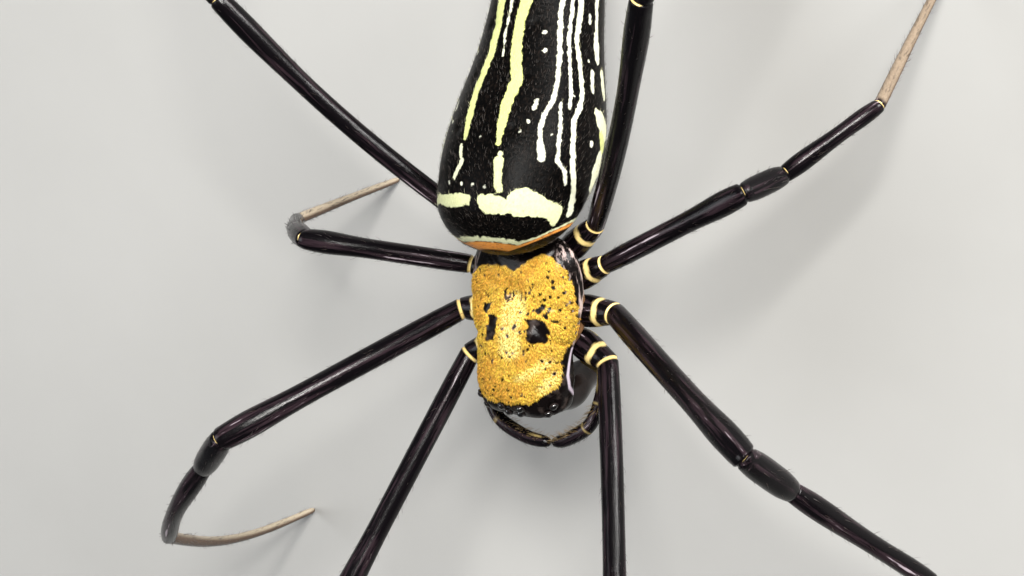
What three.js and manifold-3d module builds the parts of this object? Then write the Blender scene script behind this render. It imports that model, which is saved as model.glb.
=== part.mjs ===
// Golden silk orb weaver: a grown female spider at life size, standing on its eight feet.
// Millimetres, +Z up, head toward -Y, the spider's left side toward +X.
import * as THREE from "three";
import { mergeVertices } from "three/addons/utils/BufferGeometryUtils.js";
import Module from "manifold-3d";

const wasm = await Module();
wasm.setup();

// Room between neighbouring pieces, and the smaller room round each eye
const gap = 0.3;
const eyeGap = 0.12;

// Height of the leg bases over the floor, the level that the body is measured from
const bodyHeight = 21.3;

// The head with its eyes and jaws is turned a little to the right, about a place on the midline
const headTurn = { degrees: -4.5, y: -1.0 };

// Carapace: its underside lies at shieldFloor, and the crown is highest at the head
const shieldFloor = 0.75;

// One row for each place along the carapace: y, half width, height of the crown, and
// squareness of the section, which is 2 for an ellipse and more for square shoulders
const shieldRows = [
  [-8.05, 2.5, 2.5, 2.5],
  [-7.85, 3.1, 3.2, 2.5],
  [-7.3, 3.6, 3.8, 2.5],
  [-6.0, 3.85, 4.2, 2.5],
  [-4.6, 3.8, 4.3, 2.5],
  [-3.2, 3.75, 4.25, 2.5],
  [-2.0, 4.1, 4.1, 2.45],
  [-0.4, 4.5, 3.65, 2.3],
  [1.4, 4.7, 3.35, 2.2],
  [3.2, 4.5, 3.1, 2.2],
  [4.5, 3.95, 2.5, 2.2],
  [5.3, 3.0, 1.85, 2.2],
  [5.5, 2.1, 1.4, 2.2],
];

// Paired humps behind the head and the pit in the middle of the carapace
const hump = { x: 1.9, y: -1.1, height: 0.55, reach: 0.8 };
const pit = { y: 1.5, depth: 0.45, reachX: 0.5, reachY: 0.9 };

// Eyes: sideways place, place along the body, radius
const eyeRadius = 0.31;
const eyePlaces = {
  front_middle: { x: 0.52, y: -7.8 },
  rear_middle: { x: 0.78, y: -7.25 },
  front_side: { x: 2.6, y: -7.64 },
  rear_side: { x: 3.1, y: -6.95 },
};

// Breast plate with the body between the coxae: y, half width, top, underside
const breastRows = [
  [-5.1, 0.9, -1.5, -2.5],
  [-4.7, 1.7, -0.9, -3.0],
  [-3.8, 2.1, 0.2, -3.1],
  [-2.4, 2.1, 0.45, -2.9],
  [0.0, 2.2, 0.45, -2.75],
  [2.6, 2.0, 0.45, -2.6],
  [4.2, 1.5, 0.4, -2.1],
  [4.9, 0.8, 0.3, -1.2],
];

// Abdomen: front point, downward slant, length, how far its axis sags in the middle,
// and rows of distance along the axis, half width, height above it and depth below it
const abdomenFront = new THREE.Vector3(0.3, 4.7, 4.8);
const abdomenSlant = 24;
const abdomenLength = 32.8;
const abdomenSag = 2.1;
const abdomenRows = [
  [0.0, 0.9, 0.9, 0.6],
  [0.5, 2.8, 2.5, 1.0],
  [1.5, 4.4, 3.9, 1.4],
  [3.0, 5.45, 5.05, 2.2],
  [5.0, 5.75, 5.6, 3.9],
  [7.5, 6.0, 5.85, 5.4],
  [10.5, 5.65, 5.6, 5.7],
  [13.5, 5.0, 5.0, 5.3],
  [17.0, 4.4, 4.4, 4.7],
  [21.0, 4.05, 4.05, 4.35],
  [25.0, 3.8, 3.75, 4.0],
  [28.5, 3.3, 3.2, 3.4],
  [31.2, 2.3, 2.2, 2.4],
  [32.8, 0.9, 0.9, 1.0],
];

// Waist between the two halves of the body
const waist = { radius: 0.75, from: [0, 5.2, -0.2], to: [0.05, 6.35, 0.05] };

// Spinnerets: distance along the abdomen, length and radius of the six cones
const spinneret = { along: 29.6, length: 2.3, root: 1.1, radius: 0.6, tip: 0.25, spread: 0.5 };

// Jaws: base and end of the left one, half width and half depth
const jaw = {
  base: [1.95, -7.25, 0.4],
  end: [1.75, -6.5, -5.2],
  halfWidth: 1.6,
  halfDepth: 1.45,
};
const fangPath = [
  [1.95, -6.75, -5.6],
  [1.75, -6.6, -6.3],
  [1.2, -6.0, -6.75],
  [0.5, -5.2, -6.6],
];
const fangRadius = 0.45;

// Palps, from the mouth round the front of the face to where their tips meet
const palpPaths = {
  left: [
    [2.35, -4.75, -2.35],
    [4.25, -5.6, -2.1],
    [4.75, -7.1, -0.9],
    [4.5, -8.4, -0.15],
    [3.85, -9.5, 0.0],
    [2.75, -10.25, 0.05],
    [1.6, -10.85, 0.0],
    [0.58, -11.12, -0.1],
  ],
  right: [
    [-2.35, -4.75, -2.35],
    [-4.4, -5.6, -2.1],
    [-4.95, -7.0, -1.0],
    [-4.65, -8.55, -0.15],
    [-4.05, -9.5, 0.05],
    [-3.0, -10.2, 0.1],
    [-1.4, -10.9, 0.05],
    [0.28, -11.15, -0.1],
  ],
};
const palpGirth = [[0, 0.5], [0.1, 0.62], [0.45, 0.58], [0.52, 0.5], [0.72, 0.56], [0.94, 0.5], [1, 0.3]];

// Legs: inner ends of the coxae at the breast plate, and the places where the femurs start,
// both counted outward from the midline
const coxaStarts = {
  1: [2.45, -2.95, -1.25],
  2: [2.6, -0.85, -1.25],
  3: [2.5, 1.3, -1.25],
  4: [2.15, 3.3, -1.25],
};
const femurStarts = {
  left: { 1: [5.66, -4.54, -0.3], 2: [6.56, -0.74, -0.33], 3: [6.06, 2.96, -0.46], 4: [5.55, 5.93, -0.25] },
  right: { 1: [6.3, -4.69, -0.3], 2: [6.74, -1.18, -0.3], 3: [5.6, 2.37, -0.48], 4: [5.67, 6.06, -0.33] },
};
const legLengths = {
  1: { femur: 24.0, patella: 6.5, tibia: 18.5, metatarsus: 27.0, tarsus: 6.8 },
  2: { femur: 20.6, patella: 5.8, tibia: 15.0, metatarsus: 22.0, tarsus: 6.2 },
  3: { femur: 13.0, patella: 4.0, tibia: 8.2, metatarsus: 12.1, tarsus: 4.0 },
  4: { femur: 24.4, patella: 5.6, tibia: 14.5, metatarsus: 21.5, tarsus: 5.4 },
};

// Radii of the second leg, and the thickness of the other legs next to it
const legStoutness = { 1: 0.94, 2: 1.0, 3: 0.85, 4: 0.82 };
const coxaRadius = { 1: 1.2, 2: 1.27, 3: 1.12, 4: 1.08 };
const femurRadius = 1.07;
const patellaRadius = 0.99;
const tibiaRadius = 0.86;
const metatarsusRadius = 0.47;
const footRadius = 0.28;

// How far each length bows in its middle: the femur outward and upward
const thighBow = {
  left: { 1: [0.13, 0], 2: [0, 0.13], 3: [0, 0.36], 4: [0.42, 0] },
  right: { 1: [0, 0], 2: [0, 1.1], 3: [0, 0], 4: [0.73, 0] },
};
const tibiaBow = {
  left: { 1: 0.3, 2: 0.1, 3: 0.1, 4: 0.3 },
  right: { 1: 0.3, 2: 0.9, 3: 0.1, 4: 0.3 },
};
const shinBow = { 1: 1.8, 2: 1.9, 3: 0.15, 4: 1.5 };

// Pose in degrees. The first number of a pair is the heading, from straight sideways
// toward the head, and the second is the rise over the level. A shin has only a heading,
// because it falls as steeply as it must to set its foot on the floor.
const legPose = {
  left: {
    1: { femur: [74.4, 30], patella: [76, -5], tibia: [76, -25], shin: 76 },
    2: { femur: [19.2, 35.8], patella: [72.3, -48], tibia: [58.9, -42], shin: 59 },
    3: { femur: [-26.4, 2.3], patella: [-23, -66.2], tibia: [-37.4, -33.2], shin: -82 },
    4: { femur: [-57.2, 29.5], patella: [-59, -6], tibia: [-59, -28], shin: -59 },
  },
  right: {
    1: { femur: [68.2, 30], patella: [68, -5], tibia: [68, -25], shin: 68 },
    2: { femur: [28.6, 43], patella: [39.7, -22.3], tibia: [42.4, -24.7], shin: 54 },
    3: { femur: [-11.9, 20.5], patella: [1, -42.4], tibia: [9.5, -53.6], shin: 7 },
    4: { femur: [-52.3, 22], patella: [-52, 0], tibia: [-52, -25], shin: -52 },
  },
};

// Number of facets round a piece
const sides = { body: 32, limb: 10, shin: 8, eye: 8 };

const materials = {
  shell: new THREE.MeshStandardMaterial({ color: 0x15100f, roughness: 0.25, metalness: 0.0 }),
  gold: new THREE.MeshStandardMaterial({ color: 0xd9a93a, roughness: 0.85, metalness: 0.0 }),
  belly: new THREE.MeshStandardMaterial({ color: 0x14110c, roughness: 0.45, metalness: 0.0 }),
  shin: new THREE.MeshStandardMaterial({ color: 0x3a261a, roughness: 0.4, metalness: 0.0 }),
  lens: new THREE.MeshStandardMaterial({ color: 0x050505, roughness: 0.05, metalness: 0.0 }),
};

const body = new THREE.Group();

const vector = (list) => new THREE.Vector3(...list);

// Mirrors a place of the left side when the right side is asked for
function onSide(side, list) {
  return side === "left" ? vector(list) : new THREE.Vector3(-list[0], list[1], list[2]);
}

// Keeps only positions, joins shared corners and moves each corner by a rule
function shaped(geometry, rule) {
  geometry.deleteAttribute("normal");
  geometry.deleteAttribute("uv");
  const merged = mergeVertices(geometry, 1e-4);
  const places = merged.attributes.position;
  for (let i = 0; i < places.count; i += 1) {
    const place = new THREE.Vector3().fromBufferAttribute(places, i);
    const moved = rule(place);
    places.setXYZ(i, moved.x, moved.y, moved.z);
  }
  return facingOut(merged);
}

// Turns all faces over when they enclose a negative volume
function facingOut(geometry) {
  const places = geometry.attributes.position;
  const index = geometry.index.array;
  const a = new THREE.Vector3();
  const b = new THREE.Vector3();
  const c = new THREE.Vector3();
  let volume = 0;
  for (let i = 0; i < index.length; i += 3) {
    a.fromBufferAttribute(places, index[i]);
    b.fromBufferAttribute(places, index[i + 1]);
    c.fromBufferAttribute(places, index[i + 2]);
    volume += a.dot(b.cross(c));
  }
  if (volume < 0) {
    for (let i = 0; i < index.length; i += 3) {
      [index[i], index[i + 1]] = [index[i + 1], index[i]];
    }
  }
  return geometry;
}

// Reads a list of rows at a share of its length, with a smooth curve through them
function rowAt(rows, share) {
  const last = rows.length - 1;
  const place = THREE.MathUtils.clamp(share, 0, 1) * last;
  const k = Math.min(Math.floor(place), last - 1);
  const f = place - k;
  const before = rows[Math.max(k - 1, 0)];
  const after = rows[Math.min(k + 2, last)];
  return rows[k].map((value, n) => {
    const from = (rows[k + 1][n] - before[n]) / 2;
    const to = (after[n] - value) / 2;
    const rise = rows[k + 1][n] - value;
    const square = 3 * rise - 2 * from - to;
    const cube = from + to - 2 * rise;
    return value + from * f + square * f * f + cube * f * f * f;
  });
}

// Closed body through rows of sections. section(row, across, upward) gives the place of
// a point on the unit circle of that row.
function loft(rows, perRow, around, section) {
  const steps = (rows.length - 1) * perRow;
  const tube = new THREE.CylinderGeometry(1, 1, 1, around, steps);
  return shaped(tube, (p) => section(rowAt(rows, 0.5 - p.y), p.x, p.z));
}

// Makes a circle's point squarer for a power over 2
function squared(across, upward, power) {
  const reach = (value) => Math.sign(value) * Math.abs(value) ** (2 / power);
  return [reach(across), reach(upward)];
}

function toSolid(geometry) {
  const places = geometry.attributes.position.array;
  const mesh = new wasm.Mesh({
    numProp: 3,
    vertProperties: new Float32Array(places),
    triVerts: new Uint32Array(geometry.index.array),
  });
  return new wasm.Manifold(mesh);
}

// Largest closed surface of a cut or joined solid
function fromSolid(solid) {
  const pieces = solid.decompose();
  const largest = pieces.reduce((a, b) => (b.volume() > a.volume() ? b : a));
  const mesh = largest.getMesh();
  const geometry = new THREE.BufferGeometry();
  geometry.setAttribute("position", new THREE.BufferAttribute(new Float32Array(mesh.vertProperties), 3));
  geometry.setIndex(new THREE.BufferAttribute(new Uint32Array(mesh.triVerts), 1));
  return geometry;
}

function add(name, geometry, material) {
  const mesh = new THREE.Mesh(geometry, material.clone());
  mesh.name = name;
  body.add(mesh);
}

function addToHead(name, geometry, material) {
  geometry.translate(0, -headTurn.y, 0);
  geometry.rotateZ(THREE.MathUtils.degToRad(headTurn.degrees));
  geometry.translate(0, headTurn.y, 0);
  add(name, geometry, material);
}

// Ball with few facets
function ball(centre, radius, around) {
  const sphere = new THREE.SphereGeometry(1, around, Math.max(4, around / 2));
  return shaped(sphere, (p) => p.multiplyScalar(radius).add(centre));
}

// Round rod between two planes. thickness(share) is the radius, the rod bows sideways
// by bow in its middle, and hinge is a direction that lies across it.
function rod({ from, to, fromPlane, toPlane, thickness, around, steps, bow, hinge }) {
  const along = to.clone().sub(from).normalize();
  const lift = bow || new THREE.Vector3();
  const cross = hinge || new THREE.Vector3(1, 0, 0);
  const round = new THREE.CylinderGeometry(1, 1, 1, around, steps);
  const blend = 0.22;
  return shaped(round, (p) => {
    const share = 0.5 - p.y;
    const centre = from.clone().lerp(to, share).addScaledVector(lift, Math.sin(Math.PI * share));
    const way = along.clone().addScaledVector(lift, (Math.PI * Math.cos(Math.PI * share)) / from.distanceTo(to));
    way.normalize();
    const plane = way.clone();
    plane.lerp(fromPlane || way, Math.max(0, 1 - share / blend));
    plane.lerp(toPlane || way, Math.max(0, 1 - (1 - share) / blend));
    plane.normalize();
    const acrossWay = cross.clone().addScaledVector(way, -cross.dot(way)).normalize();
    const upWay = way.clone().cross(acrossWay);
    const radius = thickness(share);
    const spot = acrossWay.multiplyScalar(p.x * radius).addScaledVector(upWay, p.z * radius);
    const slip = -spot.dot(plane) / way.dot(plane);
    return centre.add(spot).addScaledVector(way, slip);
  });
}

// Rod along a smooth curve through places, with the radius as a rule of its length.
// No part of the curve runs along level.
function curvedRod(places, thickness, around, steps, level) {
  const curve = new THREE.CatmullRomCurve3(places);
  const round = new THREE.CylinderGeometry(1, 1, 1, around, steps);
  return shaped(round, (p) => {
    const share = 0.5 - p.y;
    const centre = curve.getPointAt(share);
    const way = curve.getTangentAt(share);
    const acrossWay = level.clone().cross(way).normalize();
    const upWay = way.clone().cross(acrossWay);
    const radius = thickness(share);
    return centre.addScaledVector(acrossWay, p.x * radius).addScaledVector(upWay, p.z * radius);
  });
}

// Radius rule through pairs of share and radius
function profile(pairs) {
  return (share) => {
    const next = Math.max(1, pairs.findIndex((pair) => pair[0] >= share));
    const [s0, r0] = pairs[next - 1];
    const [s1, r1] = pairs[next];
    return THREE.MathUtils.lerp(r0, r1, THREE.MathUtils.smoothstep(share, s0, s1));
  };
}

// Height of the carapace over a place, before humps and sockets
function crownAt(x, y) {
  const last = shieldRows.length - 1;
  let low = 0;
  let high = 1;
  for (let n = 0; n < 30; n += 1) {
    const middle = (low + high) / 2;
    if (rowAt(shieldRows, middle)[0] < y) low = middle;
    else high = middle;
  }
  const [, halfWidth, crown, power] = rowAt(shieldRows, Math.min(low, last));
  const share = Math.min(1, Math.abs(x) / halfWidth);
  return shieldFloor + (crown - shieldFloor) * (1 - share ** power) ** (1 / power);
}

function eyeCentre(place, side) {
  const sign = side === "left" ? 1 : -1;
  return new THREE.Vector3(sign * place.x, place.y, crownAt(place.x, place.y) - 0.05);
}

function makeCarapace() {
  const dome = loft(shieldRows, 2, sides.body, (row, x, z) => {
    const [across, upward] = squared(x, z, row[3]);
    const rise = upward > 0 ? upward * (row[2] - shieldFloor) : 0;
    const place = new THREE.Vector3(across * row[1], row[0], shieldFloor + rise);
    if (upward > 0.3) {
      const off = Math.hypot(Math.abs(place.x) - hump.x, place.y - hump.y) / hump.reach;
      const dip = Math.hypot(place.x / pit.reachX, (place.y - pit.y) / pit.reachY);
      place.z += hump.height * Math.exp(-off * off) - pit.depth * Math.exp(-dip * dip);
    }
    return place;
  });
  let solid = toSolid(dome);
  for (const place of Object.values(eyePlaces)) {
    for (const side of ["left", "right"]) {
      solid = solid.subtract(toSolid(ball(eyeCentre(place, side), eyeRadius + eyeGap, sides.eye)));
    }
  }
  addToHead("carapace", fromSolid(solid), materials.gold);
}

function makeEyes() {
  for (const [name, place] of Object.entries(eyePlaces)) {
    for (const side of ["left", "right"]) {
      const eye = ball(eyeCentre(place, side), eyeRadius, sides.eye);
      addToHead(`eye_${name}_${side}`, eye, materials.lens);
    }
  }
}

function makeBreastPlate() {
  const plate = loft(breastRows, 2, 20, (row, x, z) => {
    const [across, upward] = squared(x, z, 2.6);
    const middle = (row[2] + row[3]) / 2;
    return new THREE.Vector3(across * row[1], row[0], middle + (upward * (row[2] - row[3])) / 2);
  });
  add("breast_plate", plate, materials.shell);
}

// Place in the abdomen's own directions: across, distance along, height over the axis
function inAbdomen(across, along, upward) {
  const slant = THREE.MathUtils.degToRad(abdomenSlant);
  const share = along / abdomenLength;
  const height = upward - abdomenSag * 4 * share * (1 - share);
  const y = along * Math.cos(slant) + height * Math.sin(slant);
  const z = height * Math.cos(slant) - along * Math.sin(slant);
  return new THREE.Vector3(across, y, z).add(abdomenFront);
}

// Depth of the abdomen below its axis, at a distance along it
function bellyAt(along) {
  const k = abdomenRows.findIndex((row) => row[0] > along);
  const [before, after] = [abdomenRows[k - 1], abdomenRows[k]];
  return THREE.MathUtils.mapLinear(along, before[0], after[0], before[3], after[3]);
}

function makeAbdomen() {
  const sack = loft(abdomenRows, 2, sides.body, (row, x, z) => {
    const upward = z > 0 ? z * row[2] : z * row[3];
    return inAbdomen(x * row[1], row[0], upward);
  });
  add("abdomen", sack, materials.belly);
}

function makeWaist() {
  const stalk = rod({
    from: vector(waist.from),
    to: vector(waist.to),
    thickness: () => waist.radius,
    around: sides.limb,
    steps: 2,
  });
  add("waist", stalk, materials.shell);
}

// Three pairs of cones on one root, under the rear end of the abdomen
function makeSpinnerets() {
  const { along, root, radius, tip, spread, length } = spinneret;
  const depth = -bellyAt(along) - gap - root;
  const centre = inAbdomen(0, along, depth);
  const way = inAbdomen(0, along + 1, depth - 0.9).sub(centre).normalize();
  const side = new THREE.Vector3(1, 0, 0);
  const front = side.clone().cross(way);
  let solid = toSolid(ball(centre, root, 12));
  for (const [x, y] of [[1, 1], [-1, 1], [0.6, 0], [-0.6, 0], [1, -1], [-1, -1]]) {
    const shift = side.clone().multiplyScalar(x * spread).addScaledVector(front, y * spread);
    const cone = rod({
      from: centre.clone().add(shift),
      to: centre.clone().addScaledVector(shift, 1.3).addScaledVector(way, length),
      thickness: (share) => THREE.MathUtils.lerp(radius, tip, share),
      around: 8,
      steps: 3,
    });
    solid = solid.add(toSolid(cone));
  }
  add("spinnerets", fromSolid(solid), materials.shell);
}

function makeJaw(side) {
  const base = onSide(side, jaw.base);
  const end = onSide(side, jaw.end);
  const along = end.clone().sub(base);
  const girth = profile([[0, 0.62], [0.1, 0.86], [0.38, 1.0], [0.75, 0.86], [0.93, 0.62], [1, 0.4]]);
  const forward = profile([[0, 0], [0.3, 0.25], [1, 0]]);
  const block = new THREE.CylinderGeometry(1, 1, 1, 14, 12);
  const geometry = shaped(block, (p) => {
    const share = 0.5 - p.y;
    const size = girth(share);
    const centre = base.clone().addScaledVector(along, share);
    centre.x += p.x * jaw.halfWidth * size;
    centre.y += p.z * jaw.halfDepth * size - forward(share);
    return centre;
  });
  addToHead(`jaw_${side}`, geometry, materials.shell);
}

function makeFang(side) {
  const places = fangPath.map((place) => onSide(side, place));
  const thickness = (share) => THREE.MathUtils.lerp(fangRadius, 0.12, share ** 1.3);
  const fang = curvedRod(places, thickness, 8, 10, new THREE.Vector3(1, 0, 0));
  addToHead(`fang_${side}`, fang, materials.shell);
}

function makePalp(side) {
  const palp = curvedRod(palpPaths[side].map(vector), profile(palpGirth), 8, 20, new THREE.Vector3(0, 0, 1));
  add(`palp_${side}`, palp, materials.shell);
}

// Direction of a heading and a rise in degrees
function direction(side, heading, rise) {
  const turn = THREE.MathUtils.degToRad(heading);
  const lift = THREE.MathUtils.degToRad(rise);
  const sign = side === "left" ? 1 : -1;
  return new THREE.Vector3(
    sign * Math.cos(lift) * Math.cos(turn),
    -Math.cos(lift) * Math.sin(turn),
    Math.sin(lift),
  );
}

// Plane halfway between two directions
function between(a, b) {
  return a.clone().add(b).normalize();
}

function makeLeg(number, side) {
  const size = legLengths[number];
  const pose = legPose[side][number];
  const stout = legStoutness[number];
  const inner = onSide(side, coxaStarts[number]);
  const base = onSide(side, femurStarts[side][number]);

  // Directions of the lengths, the shin falling just as far as the floor
  const coxaWay = base.clone().sub(inner).normalize();
  const femurWay = direction(side, ...pose.femur);
  const patellaWay = direction(side, ...pose.patella);
  const tibiaWay = direction(side, ...pose.tibia);
  const knee = base.clone().addScaledVector(femurWay, size.femur);
  const calf = knee.clone().addScaledVector(patellaWay, size.patella);
  const ankle = calf.clone().addScaledVector(tibiaWay, size.tibia);
  const shinLength = size.metatarsus + size.tarsus;
  const fall = THREE.MathUtils.radToDeg(Math.asin((ankle.z + bodyHeight) / shinLength));
  const shinWay = direction(side, pose.shin, -fall);
  const foot = ankle.clone().addScaledVector(shinWay, shinLength);
  foot.z = -bodyHeight;

  // Planes in which neighbouring lengths face each other
  const basePlane = between(coxaWay, femurWay);
  const kneePlane = between(femurWay, patellaWay);
  const calfPlane = between(patellaWay, tibiaWay);
  const anklePlane = between(tibiaWay, shinWay);
  const before = (place, plane) => place.clone().addScaledVector(plane, -gap / 2);
  const after = (place, plane) => place.clone().addScaledVector(plane, gap / 2);
  const hingeOf = (heading) => direction(side, heading + 90, 0);
  const outward = hingeOf(pose.femur[0]).multiplyScalar(-Math.sign(pose.femur[0]));
  const [outwardBow, upwardBow] = thighBow[side][number];
  const thighLift = outward.multiplyScalar(outwardBow);
  thighLift.z = upwardBow;
  const name = (piece) => `leg${number}_${side}_${piece}`;
  const around = sides.limb;
  const scaled = (radius, pairs) => profile(pairs.map(([share, r]) => [share, r * radius * stout]));

  // The coxa narrows where the trochanter joins it, and ends as thick as the femur starts
  const coxaEnd = (0.8 * femurRadius * stout) / coxaRadius[number];
  const coxaGirth = [[0, 0.8], [0.35, 1], [0.62, 0.92], [0.7, 0.78], [0.8, 0.82], [1, coxaEnd]];
  const coxa = rod({
    from: inner,
    to: before(base, basePlane),
    fromPlane: coxaWay,
    toPlane: basePlane,
    thickness: profile(coxaGirth.map(([share, r]) => [share, r * coxaRadius[number]])),
    around,
    steps: 8,
    hinge: new THREE.Vector3(0, 1, 0),
  });
  add(name("coxa"), coxa, materials.shell);

  const femur = rod({
    from: after(base, basePlane),
    to: before(knee, kneePlane),
    fromPlane: basePlane,
    toPlane: kneePlane,
    thickness: scaled(femurRadius, [[0, 0.78], [0.12, 0.85], [0.64, 0.83], [0.8, 0.94], [0.91, 1.06], [1, 0.9]]),
    around,
    steps: 9,
    bow: thighLift,
    hinge: hingeOf(pose.femur[0]),
  });
  add(name("femur"), femur, materials.shell);

  const patella = rod({
    from: after(knee, kneePlane),
    to: before(calf, calfPlane),
    fromPlane: kneePlane,
    toPlane: calfPlane,
    thickness: scaled(patellaRadius, [[0, 0.88], [0.25, 1.03], [0.85, 1], [1, 0.82]]),
    around,
    steps: 5,
    hinge: hingeOf(pose.patella[0]),
  });
  add(name("patella"), patella, materials.shell);

  const tibia = rod({
    from: after(calf, calfPlane),
    to: before(ankle, anklePlane),
    fromPlane: calfPlane,
    toPlane: anklePlane,
    thickness: scaled(tibiaRadius, [[0, 0.85], [0.12, 1], [0.6, 0.78], [0.92, 0.86], [1, 0.7]]),
    around,
    steps: 8,
    bow: direction(side, pose.tibia[0], pose.tibia[1] + 90).multiplyScalar(tibiaBow[side][number]),
    hinge: hingeOf(pose.tibia[0]),
  });
  add(name("tibia"), tibia, materials.shell);

  // The shin bows away from the body
  const away = direction(side, pose.shin, 90 - fall).multiplyScalar(shinBow[number]);
  const shin = rod({
    from: after(ankle, anklePlane),
    to: foot,
    fromPlane: anklePlane,
    toPlane: new THREE.Vector3(0, 0, -1),
    thickness: scaled(1, [[0, metatarsusRadius * 1.1], [0.75, metatarsusRadius * 0.75], [1, footRadius]]),
    around: sides.shin,
    steps: 12,
    bow: away,
    hinge: hingeOf(pose.shin),
  });
  add(name("shin"), shin, materials.shin);
}

makeCarapace();
makeEyes();
makeBreastPlate();
makeAbdomen();
makeWaist();
makeSpinnerets();
for (const side of ["left", "right"]) {
  makeJaw(side);
  makeFang(side);
  makePalp(side);
  for (const number of [1, 2, 3, 4]) makeLeg(number, side);
}

// Stands the spider on the floor, with the middle of its span over the origin
const spider = new THREE.Group();
spider.add(body);
body.position.z = bodyHeight;
spider.updateMatrixWorld(true);
const span = new THREE.Box3().setFromObject(spider, true);
body.position.x -= (span.min.x + span.max.x) / 2;
body.position.y -= (span.min.y + span.max.y) / 2;
spider.updateMatrixWorld(true);

export default spider;
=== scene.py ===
"""Looks of a golden silk orb weaver: a grown female spider at life size, on her eight feet.

Metres, +Z up, head toward -Y, the spider's left side toward +X. The skins are grown from
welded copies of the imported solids, so that each sits where the frame has it.
"""
import math
from contextlib import contextmanager

import bmesh
import bpy
import numpy as np
from mathutils import Euler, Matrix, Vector


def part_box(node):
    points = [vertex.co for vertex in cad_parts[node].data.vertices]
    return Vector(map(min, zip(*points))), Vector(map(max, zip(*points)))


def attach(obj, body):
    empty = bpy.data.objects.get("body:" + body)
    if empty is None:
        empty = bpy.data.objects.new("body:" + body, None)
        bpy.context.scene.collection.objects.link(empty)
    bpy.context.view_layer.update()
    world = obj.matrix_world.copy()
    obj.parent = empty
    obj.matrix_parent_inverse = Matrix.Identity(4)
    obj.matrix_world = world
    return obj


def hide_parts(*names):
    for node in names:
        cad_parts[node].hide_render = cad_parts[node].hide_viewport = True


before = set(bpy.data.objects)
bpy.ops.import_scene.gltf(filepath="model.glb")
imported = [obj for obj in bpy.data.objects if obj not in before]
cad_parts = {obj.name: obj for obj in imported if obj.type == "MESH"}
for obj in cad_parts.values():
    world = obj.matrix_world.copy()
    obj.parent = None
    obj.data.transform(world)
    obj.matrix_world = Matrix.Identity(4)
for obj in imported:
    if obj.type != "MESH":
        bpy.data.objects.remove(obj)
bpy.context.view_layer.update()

MM = 0.001
WELD = 0.002 * MM

# The body is measured from the middle of the leg bases, which lies over the breast plate
BODY_HEIGHT = 21.3 * MM
PLATE_FORWARD = 0.1 * MM
plate_low, plate_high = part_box("breast_plate")
plate_middle = (plate_low + plate_high) / 2
BODY = Vector((plate_middle.x, plate_middle.y + PLATE_FORWARD, BODY_HEIGHT))

# Camera: turned angles in degrees, place from the body's middle in millimetres
CAMERA_TURN = (-16.816, 30.908, -5.574)
CAMERA_PLACE = (81.42, 39.50, 132.20)
CAMERA_LENS = 75.62

# The head is turned a little about a point behind the jaws
HEAD_TURN = math.radians(-4.5)
HEAD_PIVOT = -1.0

SIDES = ("left", "right")
EYES = ("front_middle", "rear_middle", "front_side", "rear_side")
LENGTHS = ("coxa", "femur", "patella", "tibia", "shin")


# Small tools

def at(x, y, z):
    """A place in millimetres from the body's middle, in the frame."""
    return BODY + Vector((x, y, z)) * MM


def pick(*objects):
    """Selects only these objects and makes the first one active."""
    bpy.ops.object.select_all(action="DESELECT")
    for item in objects:
        item.select_set(True)
    bpy.context.view_layer.objects.active = objects[0]


@contextmanager
def editing(piece, kind="VERT", action="SELECT"):
    """Edit mode on one piece with all or nothing selected, and object mode again after it."""
    pick(piece)
    bpy.ops.object.mode_set(mode="EDIT")
    bpy.ops.mesh.select_mode(type=kind)
    if action:
        bpy.ops.mesh.select_all(action=action)
    yield
    bpy.ops.object.mode_set(mode="OBJECT")


def modify(piece, kind, **settings):
    """Adds one modifier and applies it."""
    pick(piece)
    modifier = piece.modifiers.new(kind.title(), kind)
    for key, value in settings.items():
        setattr(modifier, key, value)
    bpy.ops.object.modifier_apply(modifier=modifier.name)


def refine(piece, levels):
    modify(piece, "SUBSURF", levels=levels)


def finish(piece, name, material, nodes=()):
    """Names a piece, gives it its finish and ties it to the frame."""
    piece.name = name
    piece.data.materials.clear()
    piece.data.materials.append(material)
    pick(piece)
    bpy.ops.object.shade_smooth()
    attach(piece, "root")
    if nodes:
        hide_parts(*nodes)


def welded(*nodes):
    """One mesh from copies of the named solids, with shared corners joined."""
    copies = []
    for node in nodes:
        copy = bpy.data.objects.new("copy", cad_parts[node].data.copy())
        bpy.context.scene.collection.objects.link(copy)
        copies.append(copy)
    pick(*copies)
    if len(copies) > 1:
        bpy.ops.object.join()
    piece = bpy.context.view_layer.objects.active
    bpy.ops.mesh.customdata_custom_splitnormals_clear()
    with editing(piece):
        bpy.ops.mesh.remove_doubles(threshold=WELD)
    return piece


def to_quads(piece):
    """Joins the solid's triangles in pairs, so that subdivision runs evenly."""
    with editing(piece, "FACE"):
        bpy.ops.mesh.tris_convert_to_quads(face_threshold=math.radians(60),
                                           shape_threshold=math.radians(80))


def smooth_copy(name, levels):
    """Smooth skin grown from a copy of a named solid."""
    piece = welded(name)
    to_quads(piece)
    refine(piece, levels)
    return piece


def remeshed(name, size, rounds):
    """Evenly meshed and rounded copy of a named solid. Size is in millimetres."""
    piece = welded(name)
    modify(piece, "REMESH", mode="VOXEL", voxel_size=size * MM)
    modify(piece, "SMOOTH", factor=0.5, iterations=rounds)
    return piece


def place_in_mesh(piece):
    """Moves a piece's own place, turn and scale into its mesh."""
    pick(piece)
    bpy.ops.object.transform_apply(location=True, rotation=True, scale=True)


def corners(piece, kind="co"):
    """Places of a piece's corners, or their normals."""
    values = np.empty(len(piece.data.vertices) * 3)
    piece.data.vertices.foreach_get(kind, values)
    return values.reshape(-1, 3)


def move_corners(piece, places):
    piece.data.vertices.foreach_set("co", places.ravel())
    piece.data.update()


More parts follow.
